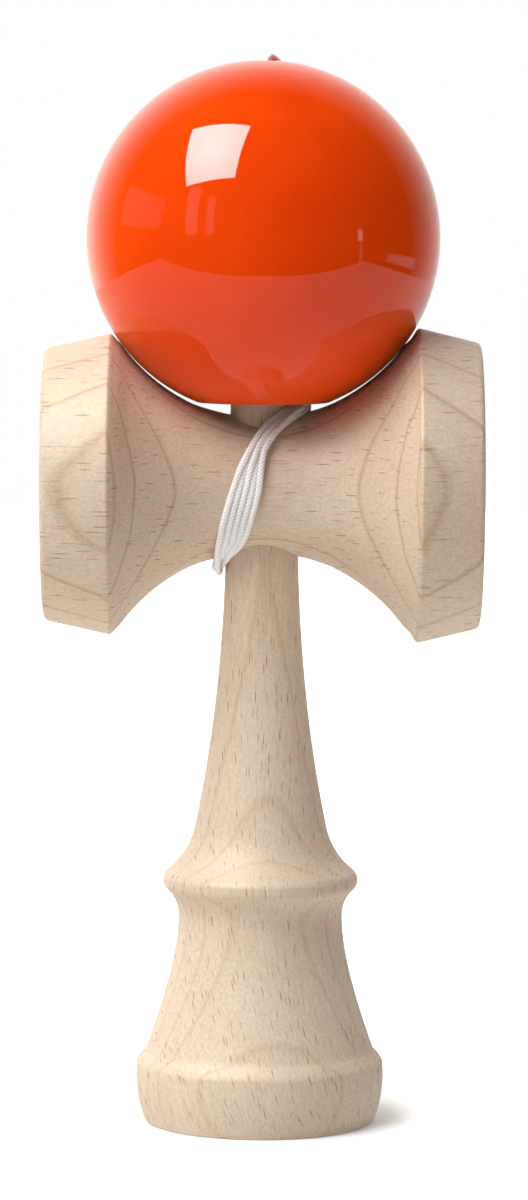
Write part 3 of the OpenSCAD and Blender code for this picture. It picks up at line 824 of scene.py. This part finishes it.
kenPiece.data.materials.append(kenWood)
saradoPiece.data.materials.append(saradoWood)
beadPiece.data.materials.append(tamaWood)
tamaPiece.data.materials.append(lacquer)
tamaPiece.data.materials.append(tamaWood)
for face in tamaPiece.data.polygons:  # inside the holes the wood is bare
    fromMiddle = math.dist(face.center / mm, (0, 0, ballZ))
    if fromMiddle < ballRadius - tamaLook["lacquerDepth"]:
        face.material_index = 1
for piece in (windingPiece, leadPiece, kenKnotPiece, beadKnotPiece):
    piece.data.materials.append(yarn)
print("finishes applied")

# what each piece moves with and stands for
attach(kenPiece, "ken")
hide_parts("ken")
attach(saradoPiece, "ken")
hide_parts("sarado")
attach(tamaPiece, "tama")
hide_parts("tama")
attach(beadPiece, "string_end")
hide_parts("string_bead")
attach(kenKnotPiece, "ken")
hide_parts("string_ken_knot")
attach(beadKnotPiece, "string_end")
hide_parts("string_bead_knot")
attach(windingPiece, "ken")
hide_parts("string_winding")
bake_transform(leadPiece)
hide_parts("string_lead", "string_over_ball")

print("pieces placed on their bodies")

# Stage: a white table with a curved front edge, a white surround, and a softbox at the upper left. Light that
# changes from place to place has a range of distance or direction, and the light at its two ends.
stageLook = {
    "table": [
        (-0.42, 1.6), (-0.47, 0.37), (-0.75, -0.28), (0, -0.36), (0.68, -0.29), (0.58, 0.37), (0.5, 1.6),
    ],
    "tableColour": "#F2F2F2", "tableMirrored": 0.95,
    "tableGlow": {"From Min": 0.024, "From Max": 0.042, "To Min": 0.2, "To Max": 1},
    "sweepBehind": {"From Min": 0.35, "From Max": 0.85, "To Min": 0.02, "To Max": 1},
    "sweepAcross": {"From Min": -0.5, "From Max": 0.5, "To Min": 1.6, "To Max": 0.9},
    "fillBehind": {"From Min": -0.3, "From Max": 0.5, "To Min": 0.12, "To Max": 0.68},
    "fillAcross": {"From Min": -0.8, "From Max": 0.8, "To Min": 2.25, "To Max": 0.72},
    "fillColour": (1, 0.965, 0.91, 1),
    "boxWay": (-0.436, -0.44, 0.785), "boxFar": 1.12, "boxSize": 0.72, "boxPower": 14.5,
    "boxColour": (0.93, 0.96, 1),
}


def makeTable(look):
    mesh = bpy.data.meshes.new("table")
    corners = [(x, y, 0) for x, y in look["table"]]
    mesh.from_pydata(corners, [], [list(range(len(corners)))[::-1]])
    table = bpy.data.objects.new("table", mesh)
    scene.collection.objects.link(table)
    material, tree = emptyMaterial("white table top")
    ray = addNode(tree, "ShaderNodeLightPath", (-600, 300))
    place = addNode(tree, "ShaderNodeTexCoord", (-1000, 100))
    far = addNode(tree, "ShaderNodeVectorMath", (-800, 100), {"operation": "LENGTH"},
                  {0: place.outputs["Object"]})
    # away from the object the sweep is lit to white, and near it the shadow stays
    lit = addNode(tree, "ShaderNodeMapRange", (-600, 100), look["tableGlow"], {0: far.outputs["Value"]})
    seen = addNode(tree, "ShaderNodeMath", (-400, 200), {"operation": "MULTIPLY"},
                   {0: ray.outputs["Is Camera Ray"], 1: lit.outputs[0]})
    matt = addNode(tree, "ShaderNodeBsdfDiffuse", (-200, 0), {"Color": linear(look["tableColour"])})
    glow = addNode(tree, "ShaderNodeEmission", (0, 200), None, {"Strength": seen.outputs[0]})
    both = addNode(tree, "ShaderNodeAddShader", (200, 0), None, {0: matt.outputs[0], 1: glow.outputs[0]})
    mirrored = addNode(tree, "ShaderNodeEmission", (200, -150), {"Strength": look["tableMirrored"]})
    final = addNode(tree, "ShaderNodeMixShader", (400, 0), None,
                    {0: ray.outputs["Is Glossy Ray"], 1: both.outputs[0], 2: mirrored.outputs[0]})
    addNode(tree, "ShaderNodeOutputMaterial", (600, 0), None, {0: final.outputs[0]})
    mesh.materials.append(material)


def makeRoom(look):
    world = bpy.data.worlds.new("studio")
    world.use_nodes = True
    tree = world.node_tree
    tree.nodes.clear()
    ray = addNode(tree, "ShaderNodeLightPath", (-600, 300))
    place = addNode(tree, "ShaderNodeTexCoord", (-1200, 0))
    way = addNode(tree, "ShaderNodeSeparateXYZ", (-1000, 0), None, {0: place.outputs["Generated"]})
    # what the lacquer mirrors: the dark room in front of the object, and the white sweep behind it
    behind = addNode(tree, "ShaderNodeMapRange", (-800, 100), look["sweepBehind"], {0: way.outputs[1]})
    sideways = addNode(tree, "ShaderNodeMapRange", (-800, -100), look["sweepAcross"], {0: way.outputs[0]})
    sweep = addNode(tree, "ShaderNodeMath", (-650, 0), {"operation": "MULTIPLY"},
                    {0: behind.outputs[0], 1: sideways.outputs[0]})
    mirrored = addNode(tree, "ShaderNodeBackground", (-500, 0), None, {"Color": sweep.outputs[0]})
    # the fill: weak from the front, strong from the back, and stronger from the left
    depth = addNode(tree, "ShaderNodeMapRange", (-800, -300), look["fillBehind"], {0: way.outputs[1]})
    across = addNode(tree, "ShaderNodeMapRange", (-800, -550), look["fillAcross"], {0: way.outputs[0]})
    fill = addNode(tree, "ShaderNodeMath", (-650, -300), {"operation": "MULTIPLY"},
                   {0: depth.outputs[0], 1: across.outputs[0]})
    soft = addNode(tree, "ShaderNodeBackground", (-500, -150), {"Color": look["fillColour"]},
                   {"Strength": fill.outputs[0]})
    white = addNode(tree, "ShaderNodeBackground", (-500, 150), {"Color": (1, 1, 1, 1), "Strength": 1})
    gloss = addNode(tree, "ShaderNodeMixShader", (-250, 0), None,
                    {0: ray.outputs["Is Glossy Ray"], 1: soft.outputs[0], 2: mirrored.outputs[0]})
    final = addNode(tree, "ShaderNodeMixShader", (0, 100), None,
                    {0: ray.outputs["Is Camera Ray"], 1: gloss.outputs[0], 2: white.outputs[0]})
    addNode(tree, "ShaderNodeOutputWorld", (200, 100), None, {0: final.outputs[0]})
    scene.world = world


def makeSoftbox(look):
    target = Vector((0, 0, ballZ * mm))
    place = target + Vector(look["boxWay"]) * look["boxFar"]
    data = bpy.data.lights.new("softbox", "AREA")
    data.shape = "RECTANGLE"
    data.size = look["boxSize"]
    data.size_y = look["boxSize"]
    data.energy = look["boxPower"]
    data.color = look["boxColour"]
    lamp = bpy.data.objects.new("softbox", data)
    lamp.location = place
    lamp.rotation_euler = (target - place).to_track_quat("-Z", "Y").to_euler()
    lamp.visible_camera = False
    lamp.visible_glossy = False
    scene.collection.objects.link(lamp)


# Things in the room that only show mirrored in the lacquer. Each faces the ball: its bearing from straight
# in front (positive to the right), its rise, its distance, its width and height, its roll, and the light at
# its middle and corners.
roomThings = {
    "softbox_face": {"bearing": -50, "rise": 53, "far": 1.0, "size": (0.57, 0.7), "roll": 25,
                     "light": (26, 19)},
    "window": {"bearing": -88, "rise": 13, "far": 2.4, "size": (1.55, 0.7), "roll": 0, "light": (0.7, 0.4)},
    "left_pane": {"bearing": -48, "rise": 16, "far": 2.4, "size": (0.35, 1.2), "roll": 5, "light": (1.3, 1)},
    "right_pane": {"bearing": -35, "rise": 14, "far": 2.4, "size": (0.22, 1.0), "roll": 2,
                   "light": (1.1, 0.8)},
    "lamp_head": {"bearing": 65, "rise": 2, "far": 2.5, "size": (0.17, 0.3), "roll": 0, "light": (3.5, 1.5)},
    "lamp_stand": {"bearing": 66, "rise": -8, "far": 2.5, "size": (0.09, 0.54), "roll": 4,
                   "light": (0.9, 0.6)},
    "shelf": {"bearing": 103, "rise": -9, "far": 2.4, "size": (1.3, 0.17), "roll": 0, "light": (1.1, 0.7)},
}
fallStart = 0.2  # where a thing's light starts and stops to fall off, in half widths from its middle
fallEnd = 1.3


def roomCorners(look):
    b, e, roll = (math.radians(look[key]) for key in ("bearing", "rise", "roll"))
    out = Vector((math.sin(b) * math.cos(e), -math.cos(b) * math.cos(e), math.sin(e)))
    level = Vector((math.cos(b), math.sin(b), 0))
    upright = out.cross(level)
    across = (level * math.cos(roll) + upright * math.sin(roll)) * look["size"][0] / 2
    upward = (upright * math.cos(roll) - level * math.sin(roll)) * look["size"][1] / 2
    middle = Vector((0, 0, ballZ * mm)) + out * look["far"]
    return [middle - across + upward, middle + across + upward,
            middle + across - upward, middle - across - upward]


def makeRoomThing(name, look):
    middle, corner = look["light"]
    mesh = bpy.data.meshes.new(name)
    mesh.from_pydata(roomCorners(look), [], [(0, 1, 2, 3)])
    spread = mesh.uv_layers.new(name="spread")
    for loop, place in zip(spread.data, ((-1, 1), (1, 1), (1, -1), (-1, -1))):
        loop.uv = place
    thing = bpy.data.objects.new(name, mesh)
    scene.collection.objects.link(thing)
    material, tree = emptyMaterial(name + " light")
    place = addNode(tree, "ShaderNodeTexCoord", (-600, 0))
    out = addNode(tree, "ShaderNodeVectorMath", (-400, 0), {"operation": "LENGTH"},
                  {0: place.outputs["UV"]})
    level = addNode(tree, "ShaderNodeMapRange", (-200, 0), {1: fallStart, 2: fallEnd, 3: middle, 4: corner},
                    {0: out.outputs["Value"]})
    glow = addNode(tree, "ShaderNodeEmission", (0, 0), None, {"Strength": level.outputs[0]})
    addNode(tree, "ShaderNodeOutputMaterial", (200, 0), None, {0: glow.outputs[0]})
    mesh.materials.append(material)
    thing.visible_camera = False
    thing.visible_diffuse = False
    thing.visible_shadow = False


for name, look in roomThings.items():
    makeRoomThing(name, look)
makeTable(stageLook)
makeRoom(stageLook)
makeSoftbox(stageLook)
print("stage lit")
